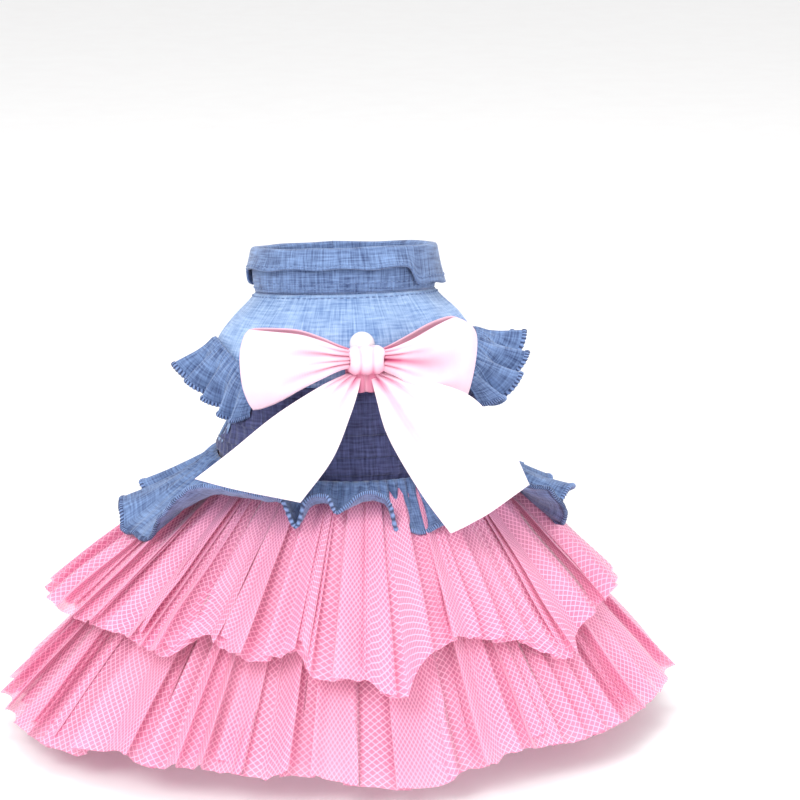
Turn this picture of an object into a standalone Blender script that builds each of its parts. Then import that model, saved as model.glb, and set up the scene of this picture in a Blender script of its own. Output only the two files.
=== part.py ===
# A small dog's dress, as it stands when worn: a denim bodice with a turned-down collar, frills at the
# shoulders, a satin bow on the back, a frilled peplum at the waist and a skirt of two tulle tiers.
# Metres, +Z up. The back faces -Y. The origin is the centre of the neck opening, at the collar's seam.
import math

import bmesh
import bpy
from mathutils import Vector

# Cloth
DENIM_WALL = 0.0012
FRILL_WALL = 0.0010
TULLE_WALL = 0.0010
SATIN_WALL = 0.0010
GAP = 0.0003
SEAM_GAP = 0.0005
WELD = 0.00001

# Bodice
BODICE_DROP = 0.068
CHEST_HALF_WIDTH = 0.0565
CHEST_HALF_DEPTH = 0.051
WAIST_LEAN = 0.014
NECK_TILT = math.radians(10)
YOKE_SHARE = 0.46
TUCK_LIFT = 0.0010
PLACKET_WIDTH = 0.016
PLACKET_MARGIN = 0.0015
LEG_HOLE_WIDTH = 0.054
LEG_HOLE_HEIGHT = 0.036
LEG_HOLE_MARGIN = 0.007
LEG_HOLE_FORWARD = -0.003

# Collar
STAND_HEIGHT = 0.016
LEAF_DROP = 0.0065
LEAF_FLARE = 0.0016

# Shoulder frills
FRILL_DEPTH = 0.020
FRILL_WAVE = 0.0030
FRILL_FOLDS = 8
LEFT_FRILL_STAND = 0.62

# Bow
BUTTON_RADIUS = 0.005
BUTTON_HEIGHT = 0.004
BUTTON_DOWN = 0.0185
KNOT_WIDTH = 0.014
KNOT_HEIGHT = 0.0105
KNOT_DEPTH = 0.0065
KNOT_ROUNDING = 0.0022
KNOT_OVER_BUTTON = 0.0022
PAD_WIDTH = 0.015
PAD_HEIGHT = 0.011
PAD_THICKNESS = 0.0028
KNOT_LAP = 0.003
LOOP_LENGTH = 0.0375
LOOP_HEIGHT = 0.034
LOOP_PUFF = 0.0055
LOOP_PLEAT = 0.0012
LOOP_SWEEP = 0.004
LOOP_BOW = 0.0022
RIGHT_LOOP_RISE = 0.003
TAIL_REACH = 0.075
TAIL_DROP = 0.068
TAIL_FOLD = 0.0014
TAIL_CLEARANCE = 0.0035

# Peplum and skirt
SKIRT_WRAP = math.radians(244)
PEPLUM_LAP = 0.003
PEPLUM_DOWN_SIDE = 0.025
PEPLUM_DOWN_BACK = 0.011
PEPLUM_LIFT = 0.010
PEPLUM_WAVE_SIDE = 0.0040
PEPLUM_WAVE_BACK = 0.0026
PEPLUM_FLUTES = 17
UPPER_DOWN_SIDE = 0.066
UPPER_DOWN_BACK = 0.063
UPPER_LIFT = 0.012
UPPER_SWAY = -0.007
UPPER_WAVE = 0.0034
LOWER_OUT_SIDE = 0.086
LOWER_OUT_BACK = 0.060
LOWER_DOWN_SIDE = 0.101
LOWER_DOWN_BACK = 0.102
LOWER_SWAY = -0.002
LOWER_WAVE = 0.0046
LOWER_PLAIN_SHARE = 0.3
TULLE_FOLDS = 25

# Sections of the bodice. Each row: share of the bodice's drop, half width and half depth as shares of the
# chest's, share of the waist's lean towards the back, share of the neck's tilt.
BODICE_COLUMNS = ("down", "width", "depth", "lean", "tilt")
BODICE = (
    (0.00, 0.660, 0.735, 0.00, 1.00),
    (0.06, 0.720, 0.780, 0.02, 0.97),
    (0.16, 0.840, 0.865, 0.10, 0.85),
    (0.28, 0.945, 0.930, 0.22, 0.68),
    (0.45, 1.000, 0.985, 0.42, 0.42),
    (0.70, 1.000, 1.000, 0.70, 0.15),
    (1.00, 0.960, 0.975, 1.00, 0.00),
)

# Stitched tucks of the waist panel. Each row: share of the panel's height, share of the tuck's lift.
TUCKS = (
    (0.00, 0.0),
    (0.42, 1.0),
    (0.47, 0.0),
    (0.65, 1.0),
    (0.70, 0.0),
    (0.84, 1.0),
    (0.89, 0.0),
    (1.00, 0.0),
)

# Turned-down leaf of the collar. Each row: share of a turn from the centre back to +X, share of the drop.
LEAF_COLUMNS = ("turn", "drop")
LEAF = (
    (-0.50, 2.20),
    (-0.32, 2.15),
    (-0.24, 1.00),
    (0.09, 1.00),
    (0.11, 2.15),
    (0.50, 2.20),
)

# Section of the leaf from above the stand, over its edge and down outside it. Each row: share of the step out
# over the stand, share of the drop.
LEAF_PROFILE = ((0.0, 0.0), (1.0, 0.0), (1.0, 0.5), (1.0, 1.0))

# Seam of a shoulder frill on the bodice, from the front over the shoulder to the back. Each row: share along
# it, angle from the centre back in degrees, share of the bodice's drop, and how far the right frill stands off
# in degrees. The left frill hangs closer, by the share LEFT_FRILL_STAND.
SEAM_COLUMNS = ("along", "angle", "down", "stand")
SEAM = (
    (0.00, 118, 0.36, 52),
    (0.18, 106, 0.30, 54),
    (0.38, 87, 0.27, 46),
    (0.58, 70, 0.31, 38),
    (0.78, 56, 0.38, 33),
    (1.00, 44, 0.44, 30),
)

# Outline of a bow loop from the knot out. Each row: share of its length, of its height and of its puff, and how
# far its middle drops as a share of its height.
LOOP = (
    (0.00, 0.27, 0.24, 0.00),
    (0.22, 0.44, 0.74, 0.02),
    (0.50, 0.70, 1.00, 0.05),
    (0.76, 0.90, 0.82, 0.09),
    (0.93, 0.99, 0.46, 0.12),
    (1.00, 1.00, 0.00, 0.13),
)

# Tails of the bow from the knot down. Each row: share along the tail, place of its outer and of its inner edge
# as shares of the reach to the side and of the drop, share of the stand-off from the bodice.
TAIL_COLUMNS = ("along", "outer_side", "outer_drop", "inner_side", "inner_drop", "off")
TAIL_LEFT = (
    (0.00, 0.115, 0.00, 0.025, 0.02, 0.00),
    (0.12, 0.280, 0.11, 0.040, 0.12, 0.18),
    (0.36, 0.530, 0.24, 0.070, 0.34, 0.42),
    (0.68, 0.770, 0.39, 0.190, 0.57, 0.80),
    (1.00, 0.970, 0.50, 0.380, 0.70, 1.00),
)
TAIL_RIGHT = (
    (0.00, 0.115, 0.00, 0.025, 0.02, 0.00),
    (0.12, 0.330, 0.08, 0.050, 0.12, 0.18),
    (0.36, 0.590, 0.24, 0.090, 0.38, 0.42),
    (0.68, 0.760, 0.44, 0.220, 0.68, 0.80),
    (1.00, 0.850, 0.62, 0.410, 0.92, 1.00),
)

# Where the columns of one fold stand and how high, as shares of the fold's width and wave.
FOLD_STEPS = ((0.0, 0.0), (0.22, 1.0), (0.52, 0.1), (0.76, -0.9))

# Number of pleats across a tail, and how uneven the folds of a frill and of a tier are.
TAIL_PLEATS = 1.5
FRILL_UNEVEN = 0.35
TULLE_UNEVEN = 0.3

# Grid densities
RING_COLUMNS = 40
YOKE_ROWS = 5
PLACKET_ROWS = 12
HOLE_SIDES = 20
STAND_ROWS = 1
LOOP_ROWS = 7
TAIL_STEPS = 6
TAIL_ROWS = 7
FRILL_ROWS = 3
PEPLUM_ROWS = 3
TULLE_ROWS = 4


def material(name, colour, roughness, metallic=0.0):
    """A plain material of one colour, given as linear red, green and blue."""
    made = bpy.data.materials.new(name)
    made.use_nodes = True
    shader = made.node_tree.nodes["Principled BSDF"]
    shader.inputs["Base Color"].default_value = (*colour, 1.0)
    shader.inputs["Roughness"].default_value = roughness
    shader.inputs["Metallic"].default_value = metallic
    return made


def read(table, columns, key, name):
    """The value of one named column of a table at the given key, read off a smooth line through its rows."""
    column = columns.index(name)
    rows = [(row[0], row[column]) for row in table]
    if key <= rows[0][0]:
        return rows[0][1]
    if key >= rows[-1][0]:
        return rows[-1][1]
    after = next(i for i, row in enumerate(rows) if row[0] >= key)
    (x0, y0), (x1, y1) = rows[after - 1], rows[after]
    before_x, before_y = rows[max(after - 2, 0)]
    past_x, past_y = rows[min(after + 1, len(rows) - 1)]
    slope0 = (y1 - before_y) / (x1 - before_x)
    slope1 = (past_y - y0) / (past_x - x0)
    width = x1 - x0
    t = (key - x0) / width
    start = (1 + 2 * t) * (1 - t) ** 2 * y0 + t * (1 - t) ** 2 * width * slope0
    end = t * t * (3 - 2 * t) * y1 + t * t * (t - 1) * width * slope1
    return start + end


def evenly(count, first=0.0, last=1.0):
    """Values spread evenly from the first to the last."""
    return [first + (last - first) * i / (count - 1) for i in range(count)]


def ring_angles(count):
    """Angles once round, from the belly over the back to the belly again."""
    return evenly(count + 1, -math.pi, math.pi)


def finish(bm, name, look, wall=None):
    """An object from a bmesh. A sheet is given its wall, half to each side."""
    mesh = bpy.data.meshes.new(name)
    bm.to_mesh(mesh)
    bm.free()
    made = bpy.data.objects.new(name, mesh)
    bpy.context.scene.collection.objects.link(made)
    mesh.materials.append(look)
    mesh.shade_smooth()
    if wall:
        solid = made.modifiers.new("wall", "SOLIDIFY")
        solid.thickness = wall
        solid.offset = 0.0
    return made


def cloth(name, columns, rows, place, look, wall, closed=False):
    """A sheet of cloth: a grid whose columns and rows go where place(column, row) says, given its wall."""
    bm = bmesh.new()
    across = len(columns) - 1
    down = len(rows) - 1
    bmesh.ops.create_grid(bm, x_segments=across, y_segments=down, size=0.5)
    for vert in bm.verts:
        column = columns[round((vert.co.x + 0.5) * across)]
        row = rows[round((vert.co.y + 0.5) * down)]
        vert.co = place(column, row)
    if closed:
        bmesh.ops.remove_doubles(bm, verts=bm.verts, dist=WELD)
    bmesh.ops.recalc_face_normals(bm, faces=bm.faces)
    return finish(bm, name, look, wall)


def bodice_point(angle, down, outward=0.0):
    """A point on the bodice's middle surface, at an angle from the centre back and a share of its drop."""
    width = CHEST_HALF_WIDTH * read(BODICE, BODICE_COLUMNS, down, "width") + outward
    depth = CHEST_HALF_DEPTH * read(BODICE, BODICE_COLUMNS, down, "depth") + outward
    lean = WAIST_LEAN * read(BODICE, BODICE_COLUMNS, down, "lean")
    tilt = NECK_TILT * read(BODICE, BODICE_COLUMNS, down, "tilt")
    forward = -depth * math.cos(angle)
    return Vector((
        width * math.sin(angle),
        forward * math.cos(tilt) - lean,
        -BODICE_DROP * down - forward * math.sin(tilt),
    ))


def bodice_frame(angle, down):
    """The directions round, down and out of the bodice's surface at a point on it."""
    step = 0.01
    point = bodice_point(angle, down)
    around = (bodice_point(angle + step, down) - point).normalized()
    below = (bodice_point(angle, down + step) - point).normalized()
    out = below.cross(around).normalized()
    if out.dot(Vector((math.sin(angle), -math.cos(angle), 0))) < 0:
        out.negate()
    return around, below, out


def facet_sag():
    """How far the flat facets of the bodice's ring lie inside its true curve at most."""
    return CHEST_HALF_WIDTH * (1 - math.cos(math.pi / RING_COLUMNS))


def leg_hole_cutter():
    """A rod through both sides of the bodice that leaves the two leg holes."""
    bm = bmesh.new()
    bmesh.ops.create_cone(
        bm, cap_ends=True, segments=HOLE_SIDES, radius1=0.5, radius2=0.5, depth=4 * CHEST_HALF_WIDTH
    )
    middle = -BODICE_DROP + LEG_HOLE_MARGIN + LEG_HOLE_HEIGHT / 2
    for vert in bm.verts:
        x, y, z = vert.co
        vert.co = Vector((z, y * LEG_HOLE_WIDTH + LEG_HOLE_FORWARD, middle - x * LEG_HOLE_HEIGHT))
    made = finish(bm, "leg_hole_cutter", chambray)
    made.display_type = "WIRE"
    made.hide_render = True
    return made


def cut(piece, cutter):
    """The piece less the cutter."""
    boolean = piece.modifiers.new("leg holes", "BOOLEAN")
    boolean.operation = "DIFFERENCE"
    boolean.solver = "EXACT"
    boolean.object = cutter


def build_bodice():
    """The yoke, the tucked waist panel below it and the plain placket that closes them at the belly."""
    cutter = leg_hole_cutter()
    shares = evenly(YOKE_ROWS + 1, 0.0, YOKE_SHARE)
    yoke = cloth("yoke", ring_angles(RING_COLUMNS), shares, bodice_point, chambray, DENIM_WALL, closed=True)
    cut(yoke, cutter)

    top = YOKE_SHARE + SEAM_GAP / BODICE_DROP

    def waist_point(angle, tuck):
        lift = TUCK_LIFT * tuck[1] * (1 + math.cos(angle)) / 2
        return bodice_point(angle, top + (1 - top) * tuck[0], lift)

    panel = cloth(
        "waist_panel", ring_angles(RING_COLUMNS), TUCKS, waist_point, indigo, DENIM_WALL, closed=True
    )
    cut(panel, cutter)

    half_angle = PLACKET_WIDTH / 2 / CHEST_HALF_DEPTH

    def placket_point(angle, share):
        return bodice_point(angle, share, DENIM_WALL + GAP + facet_sag())

    angles = evenly(4, math.pi - half_angle, math.pi + half_angle)
    first = PLACKET_MARGIN / BODICE_DROP
    shares = evenly(PLACKET_ROWS, first, 1 - 3 * first)
    cloth("belly_placket", angles, shares, placket_point, chambray, DENIM_WALL)


def collar_point(angle, outward, height):
    """A point above the neck seam, at a height along the tilted axis of the neck."""
    axis = Vector((0, math.sin(NECK_TILT), math.cos(NECK_TILT)))
    return bodice_point(angle, 0.0, outward) + axis * height


def build_collar():
    """The collar's stand, and the leaf that folds over its top edge and hangs outside it."""
    lift = DENIM_WALL / 2 + GAP

    def stand_point(angle, share):
        return collar_point(angle, 0.0, lift + STAND_HEIGHT * share)

    cloth(
        "collar_stand", ring_angles(RING_COLUMNS), evenly(STAND_ROWS + 1), stand_point, denim, DENIM_WALL,
        closed=True,
    )

    over = DENIM_WALL + GAP
    top = lift + STAND_HEIGHT

    def leaf_point(angle, row):
        lap, hang = row
        drop = LEAF_DROP * read(LEAF, LEAF_COLUMNS, angle / math.tau, "drop")
        height = top + lift * (1 - hang) - drop * hang
        return collar_point(angle, over * lap + LEAF_FLARE * hang, height)

    cloth(
        "collar_leaf", ring_angles(RING_COLUMNS), LEAF_PROFILE, leaf_point, denim, DENIM_WALL, closed=True
    )


def fold_columns(folds, uneven):
    """Columns of a gathered strip: share along it, and the height of its folds there from -1 to 1."""
    widths = [1 + uneven * math.sin(2.4 * i + 0.7) for i in range(folds)]
    total = sum(widths)
    columns = []
    passed = 0.0
    for i, width in enumerate(widths):
        depth = 1 - uneven * (0.5 + 0.5 * math.sin(1.7 * i))
        for share, height in FOLD_STEPS:
            columns.append(((passed + share * width) / total, height * depth))
        passed += width
    columns.append((1.0, 0.0))
    return columns


def seam_direction(side, along):
    """The direction in which a frill's seam runs over the bodice at a share along it."""
    step = 0.02
    low = max(along - step, 0.0)
    high = min(along + step, 1.0)
    ends = []
    for share in (low, high):
        angle = side * math.radians(read(SEAM, SEAM_COLUMNS, share, "angle"))
        ends.append(bodice_point(angle, read(SEAM, SEAM_COLUMNS, share, "down")))
    return (ends[1] - ends[0]).normalized()


def build_frill(name, side, stand_share):
    """One gathered frill, sewn along a seam over the shoulder and standing off the bodice."""
    seat = DENIM_WALL / 2 + GAP + FRILL_WALL / 2

    def frill_point(column, row):
        along, height = column
        angle = side * math.radians(read(SEAM, SEAM_COLUMNS, along, "angle"))
        down = read(SEAM, SEAM_COLUMNS, along, "down")
        stand = math.radians(read(SEAM, SEAM_COLUMNS, along, "stand")) * stand_share
        _, _, out = bodice_frame(angle, down)
        away = out.cross(seam_direction(side, along)).normalized() * side
        flare = away * math.cos(stand) + out * math.sin(stand)
        face = out * math.cos(stand) - away * math.sin(stand)
        point = bodice_point(angle, down) + out * seat
        return point + flare * FRILL_DEPTH * row + face * FRILL_WAVE * height * row

    columns = fold_columns(FRILL_FOLDS, FRILL_UNEVEN)
    cloth(name, columns, evenly(FRILL_ROWS + 1), frill_point, denim, FRILL_WALL)


def between(angle, side, back):
    """A size that goes from its value at the centre back to its value at the sides."""
    share = math.sin(angle) ** 2
    return side * share + back * (1 - share)


def lower_reach(angle, fall):
    """How far the lower tier stands out from the waist seam where it hangs this far below it."""
    out = between(angle, LOWER_OUT_SIDE, LOWER_OUT_BACK)
    down = between(angle, LOWER_DOWN_SIDE, LOWER_DOWN_BACK)
    return out * (max(fall, 0.0) / down) ** 1.06


def upper_reach(angle, fall):
    """How far the upper tier stands out: its lift opens it away from the lower one."""
    down = between(angle, UPPER_DOWN_SIDE, UPPER_DOWN_BACK)
    return lower_reach(angle, fall) + UPPER_LIFT * (max(fall, 0.0) / down) ** 0.85


def peplum_reach(angle, fall):
    """How far the peplum stands out: its lift opens it away from the upper tier."""
    down = between(angle, PEPLUM_DOWN_SIDE, PEPLUM_DOWN_BACK)
    return upper_reach(angle, fall) + PEPLUM_LIFT * ((fall + PEPLUM_LAP) / (down + PEPLUM_LAP)) ** 0.9


def tier(name, columns, rows, hang, reach, wave, look, wall):
    """A gathered tier that hangs from the waist seam and flares to its hem.

    hang(angle) gives its outward seat, its start above the seam, its fall below the seam and its sway to +X,
    reach(angle, fall) how far it stands out, and wave(angle, row) the height of its folds."""
    def tier_point(column, row):
        share, height = column
        angle = SKIRT_WRAP * (share - 0.5)
        seat, above, down, sway = hang(angle)
        lap = max(above, 0.0)
        start = bodice_point(angle, 1 - lap / BODICE_DROP, seat)
        out = Vector((math.sin(angle), -math.cos(angle), 0))
        fall = (down + lap) * row - lap
        away = reach(angle, fall)
        face = (out * down + Vector((0, 0, reach(angle, down)))).normalized()
        level = Vector((sway * row, 0, above - lap - (down + lap) * row))
        return start + out * away + level + face * wave(angle, row) * height

    return cloth(name, columns, evenly(rows + 1), tier_point, look, wall)


def build_skirt():
    """The peplum frill over the upper tulle tier, and the lower tier under it, all on the waist seam."""
    peplum_seat = DENIM_WALL / 2 + GAP + FRILL_WALL / 2
    upper_seat = TULLE_WALL + 2 * GAP
    below = -GAP - TULLE_WALL / 2

    def peplum_hang(angle):
        return peplum_seat, PEPLUM_LAP, between(angle, PEPLUM_DOWN_SIDE, PEPLUM_DOWN_BACK), 0.0

    def peplum_wave(angle, row):
        return between(angle, PEPLUM_WAVE_SIDE, PEPLUM_WAVE_BACK) * row

    def upper_hang(angle):
        return upper_seat, below, between(angle, UPPER_DOWN_SIDE, UPPER_DOWN_BACK), UPPER_SWAY

    def upper_wave(angle, row):
        return UPPER_WAVE * row

    def lower_hang(angle):
        return 0.0, below, between(angle, LOWER_DOWN_SIDE, LOWER_DOWN_BACK), LOWER_SWAY

    def lower_wave(angle, row):
        return LOWER_WAVE * max(0.0, (row - LOWER_PLAIN_SHARE) / (1 - LOWER_PLAIN_SHARE))

    flutes = fold_columns(PEPLUM_FLUTES, FRILL_UNEVEN)
    folds = fold_columns(TULLE_FOLDS, TULLE_UNEVEN)
    tier("peplum", flutes, PEPLUM_ROWS, peplum_hang, peplum_reach, peplum_wave, denim, FRILL_WALL)
    tier("tulle_upper", folds, TULLE_ROWS, upper_hang, upper_reach, upper_wave, tulle, TULLE_WALL)
    tier("tulle_lower", folds, TULLE_ROWS + 1, lower_hang, lower_reach, lower_wave, tulle, TULLE_WALL)


def back_height(down):
    """Height of the centre back at a share of the bodice's drop."""
    return bodice_point(0.0, down).z


def back_share(height):
    """Share of the bodice's drop at which the centre back has the given height, found by halving."""
    low, high = 0.0, 1.0
    for _ in range(40):
        middle = (low + high) / 2
        if back_height(middle) > height:
            low = middle
        else:
            high = middle
    return low


def back_face(height):
    """How far towards -Y the outer face of the bodice lies at the centre back at a height."""
    return bodice_point(0.0, back_share(height)).y - DENIM_WALL / 2


def pad_face(height):
    """How far towards -Y the face of the folded ribbon behind the knot lies at a height."""
    return back_face(height) - GAP - facet_sag() - PAD_THICKNESS


def knot_seat():
    """Height of the button's centre, height of the knot's centre, and where in Y the knot's inner face is."""
    button_height = back_height(0.0) - BUTTON_DOWN
    knot_height = button_height + KNOT_OVER_BUTTON - KNOT_HEIGHT / 2
    lowest = knot_height - KNOT_HEIGHT / 2
    rest = min(pad_face(lowest), back_face(knot_height) - GAP - facet_sag() - BUTTON_HEIGHT) - GAP
    return button_height, knot_height, rest


def build_button():
    """The round button that stands above the knot."""
    button_height, _, _ = knot_seat()
    bm = bmesh.new()
    bmesh.ops.create_uvsphere(bm, u_segments=14, v_segments=8, radius=BUTTON_RADIUS)
    whole = bm.verts[:] + bm.edges[:] + bm.faces[:]
    bmesh.ops.bisect_plane(bm, geom=whole, plane_co=(0, 0, 0), plane_no=(0, 0, -1), clear_outer=True)
    bmesh.ops.holes_fill(bm, edges=[edge for edge in bm.edges if edge.is_boundary])
    share = back_share(button_height)
    around, below, out = bodice_frame(0.0, share)
    sag = BUTTON_RADIUS ** 2 / 2 / CHEST_HALF_DEPTH
    seat = bodice_point(0.0, share) + out * (DENIM_WALL / 2 + GAP + sag)
    for vert in bm.verts:
        x, y, z = vert.co
        vert.co = seat + around * x - below * y + out * (z * BUTTON_HEIGHT / BUTTON_RADIUS)
    bmesh.ops.recalc_face_normals(bm, faces=bm.faces)
    finish(bm, "pearl_button", pearl)


def build_knot():
    """The satin band round the bow's middle, and the folded ribbon under it that is sewn to the bodice."""
    _, knot_height, rest = knot_seat()
    bm = bmesh.new()
    bmesh.ops.create_cube(bm, size=1.0)
    bmesh.ops.scale(bm, vec=(KNOT_WIDTH, KNOT_DEPTH, KNOT_HEIGHT), verts=bm.verts)
    bmesh.ops.bevel(
        bm, geom=bm.edges[:], offset=KNOT_ROUNDING, offset_type="OFFSET", segments=2, profile=0.5,
        affect="EDGES", material=-1,
    )
    bmesh.ops.translate(bm, vec=(0, rest - KNOT_DEPTH / 2, knot_height), verts=bm.verts)
    finish(bm, "bow_knot", satin)

    top = knot_height - KNOT_HEIGHT / 2 + KNOT_LAP
    half_angle = PAD_WIDTH / 2 / CHEST_HALF_DEPTH
    seat = DENIM_WALL / 2 + GAP + facet_sag() + PAD_THICKNESS / 2

    def pad_point(angle, share):
        return bodice_point(angle, back_share(top - PAD_HEIGHT * share), seat)

    cloth("bow_back", evenly(7, -half_angle, half_angle), evenly(4), pad_point, satin, PAD_THICKNESS)


def build_loop(name, side, rise):
    """One loop of the bow: a ribbon doubled back on itself, pinched at the knot and open above and below."""
    _, knot_height, rest = knot_seat()
    columns = [(row, 1) for row in LOOP] + [(row, -1) for row in reversed(LOOP[:-1])]

    def loop_point(column, row):
        (along, half_height, puff, sink), layer = column
        across = KNOT_WIDTH / 2 + GAP + SATIN_WALL / 2 + LOOP_LENGTH * along
        bow = LOOP_BOW * (1 - row * row) * along ** 3
        height = knot_height + rise * along - LOOP_HEIGHT * (sink - half_height / 2 * row)
        pleat = LOOP_PLEAT * math.cos(2 * math.pi * row) * math.sqrt(1 - along)
        middle = rest - KNOT_DEPTH / 2 + LOOP_SWEEP * along ** 2 - pleat
        return Vector((side * (across + bow), middle - layer * LOOP_PUFF * puff, height))

    cloth(name, columns, evenly(LOOP_ROWS, -1.0, 1.0), loop_point, satin, SATIN_WALL)


def build_tail(name, side, table):
    """One tail of the bow: the ribbon's end, pinched under the knot and spreading down over the peplum."""
    _, knot_height, _ = knot_seat()
    top = knot_height - KNOT_HEIGHT / 2 - GAP - SATIN_WALL / 2
    seat = pad_face(top) - 2 * GAP - SATIN_WALL
    peplum_hem = bodice_point(0.0, 1.0).y - peplum_reach(0.0, PEPLUM_DOWN_BACK) - PEPLUM_WAVE_BACK
    stand_off = seat - peplum_hem + TAIL_CLEARANCE

    def tail_point(share, row):
        def across_tail(inner, outer):
            inner_place = read(table, TAIL_COLUMNS, share, inner)
            return inner_place * (1 - row) + read(table, TAIL_COLUMNS, share, outer) * row

        pinched = (1 - share) * min(share * 8, 1.0)
        fold = TAIL_FOLD * (1 + math.cos(2 * math.pi * TAIL_PLEATS * row)) * pinched
        off = seat - stand_off * read(table, TAIL_COLUMNS, share, "off") - fold
        reach = TAIL_REACH * across_tail("inner_side", "outer_side")
        return Vector((side * reach, off, top - TAIL_DROP * across_tail("inner_drop", "outer_drop")))

    cloth(name, evenly(TAIL_STEPS + 1), evenly(TAIL_ROWS), tail_point, satin, SATIN_WALL)


for old in list(bpy.data.objects):
    bpy.data.objects.remove(old, do_unlink=True)

chambray = material("chambray", (0.115, 0.235, 0.430), 0.85)
denim = material("denim", (0.080, 0.165, 0.340), 0.85)
indigo = material("indigo denim", (0.036, 0.044, 0.130), 0.88)
satin = material("pink satin", (0.900, 0.590, 0.720), 0.35)
pearl = material("pearl", (0.900, 0.850, 0.830), 0.20)
tulle = material("pink tulle", (0.860, 0.270, 0.440), 0.70)

build_bodice()
build_collar()
build_frill("frill_left", -1, LEFT_FRILL_STAND)
build_frill("frill_right", 1, 1.0)
build_skirt()
build_button()
build_knot()
build_loop("bow_loop_left", -1, 0.0)
build_loop("bow_loop_right", 1, RIGHT_LOOP_RISE)
build_tail("bow_tail_left", -1, TAIL_LEFT)
build_tail("bow_tail_right", 1, TAIL_RIGHT)
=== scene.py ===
import math
import random

import bmesh
import bpy
from mathutils import Matrix, Vector, noise
from mathutils.bvhtree import BVHTree


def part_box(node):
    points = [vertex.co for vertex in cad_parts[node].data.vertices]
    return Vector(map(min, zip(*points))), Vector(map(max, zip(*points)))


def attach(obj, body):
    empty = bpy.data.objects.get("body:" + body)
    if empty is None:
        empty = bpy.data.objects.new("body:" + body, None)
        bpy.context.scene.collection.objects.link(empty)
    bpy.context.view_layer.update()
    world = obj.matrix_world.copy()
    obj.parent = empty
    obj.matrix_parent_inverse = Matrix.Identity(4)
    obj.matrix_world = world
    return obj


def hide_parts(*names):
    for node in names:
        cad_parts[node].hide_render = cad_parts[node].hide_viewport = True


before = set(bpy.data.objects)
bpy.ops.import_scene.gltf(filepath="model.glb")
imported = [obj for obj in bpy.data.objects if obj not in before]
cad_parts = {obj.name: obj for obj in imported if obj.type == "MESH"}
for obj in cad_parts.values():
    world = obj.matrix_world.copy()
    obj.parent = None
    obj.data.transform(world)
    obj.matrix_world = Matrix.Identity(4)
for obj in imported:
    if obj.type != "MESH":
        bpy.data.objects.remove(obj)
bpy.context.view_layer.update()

# Yoke. The upper back and chest of the dress, in light blue chambray with slubs in both threads. It is cut in one
# with the shoulders, sewn to the collar above and to the waist panel below, and has an armhole in each side.
BODICE_DROP = 0.068
CHEST_HALF_WIDTH = 0.0565
CHEST_HALF_DEPTH = 0.051
WAIST_LEAN = 0.014
NECK_TILT = math.radians(10)
YOKE_SHARE = 0.46
CLOTH_WALL = 0.0009
ARMHOLE_WIDTH = 0.054
ARMHOLE_HEIGHT = 0.036
ARMHOLE_MARGIN = 0.007
ARMHOLE_FORWARD = -0.003
YOKE_CREASE = 0.0012

# Sections of the bodice: share of the drop, half width and half depth as shares of the chest's, share of the lean,
# share of the neck's tilt.
BODICE = (
    (0.00, 0.660, 0.735, 0.00, 1.00),
    (0.06, 0.720, 0.780, 0.02, 0.97),
    (0.16, 0.840, 0.865, 0.10, 0.85),
    (0.28, 0.945, 0.930, 0.22, 0.68),
    (0.45, 1.000, 0.985, 0.42, 0.42),
    (0.70, 1.000, 1.000, 0.70, 0.15),
    (1.00, 0.960, 0.975, 1.00, 0.00),
)


def read(table, key, column):
    """The value in a column of a table at a key, read off a smooth line through its rows."""
    if key <= table[0][0]:
        return table[0][column]
    if key >= table[-1][0]:
        return table[-1][column]
    after = next(i for i, row in enumerate(table) if row[0] >= key)
    x0, y0 = table[after - 1][0], table[after - 1][column]
    x1, y1 = table[after][0], table[after][column]
    before = table[max(after - 2, 0)]
    past = table[min(after + 1, len(table) - 1)]
    slope0 = (y1 - before[column]) / (x1 - before[0])
    slope1 = (past[column] - y0) / (past[0] - x0)
    width = x1 - x0
    t = (key - x0) / width
    start = (1 + 2 * t) * (1 - t) ** 2 * y0 + t * (1 - t) ** 2 * width * slope0
    return start + t * t * (3 - 2 * t) * y1 + t * t * (t - 1) * width * slope1


def bodice_point(turn, down, outward=0.0):
    """A point of the bodice, at a turn from the centre back and a share of its drop."""
    width = CHEST_HALF_WIDTH * read(BODICE, down, 1) + outward
    depth = CHEST_HALF_DEPTH * read(BODICE, down, 2) + outward
    tilt = NECK_TILT * read(BODICE, down, 4)
    forward = -depth * math.cos(turn)
    return Vector((
        width * math.sin(turn),
        forward * math.cos(tilt) - WAIST_LEAN * read(BODICE, down, 3),
        -BODICE_DROP * down - forward * math.sin(tilt),
    ))


def bodice_out(turn, down):
    """The direction straight out of the bodice at a point of it."""
    around = bodice_point(turn + 0.01, down) - bodice_point(turn - 0.01, down)
    below = bodice_point(turn, down + 0.01) - bodice_point(turn, down - 0.01)
    out = below.cross(around).normalized()
    return -out if out.dot(Vector((math.sin(turn), -math.cos(turn), 0))) < 0 else out


def bump(distance, width):
    """A smooth hump of height 1 that fades over a width."""
    return math.exp(-(distance / width) ** 2)


def rgb(code):
    """A colour from its sRGB hex value, turned linear."""
    parts = [int(code[i:i + 2], 16) / 255 for i in (1, 3, 5)]
    return (*[p / 12.92 if p <= 0.04045 else ((p + 0.055) / 1.055) ** 2.4 for p in parts], 1.0)


def node(material, kind, inputs, **settings):
    """Adds a node with its settings, and gives its inputs their values or links."""
    made = material.node_tree.nodes.new(kind)
    for name, value in settings.items():
        setattr(made, name, value)
    for name, value in inputs.items():
        if isinstance(value, bpy.types.NodeSocket):
            material.node_tree.links.new(value, made.inputs[name])
        else:
            made.inputs[name].default_value = value
    return made


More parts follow.
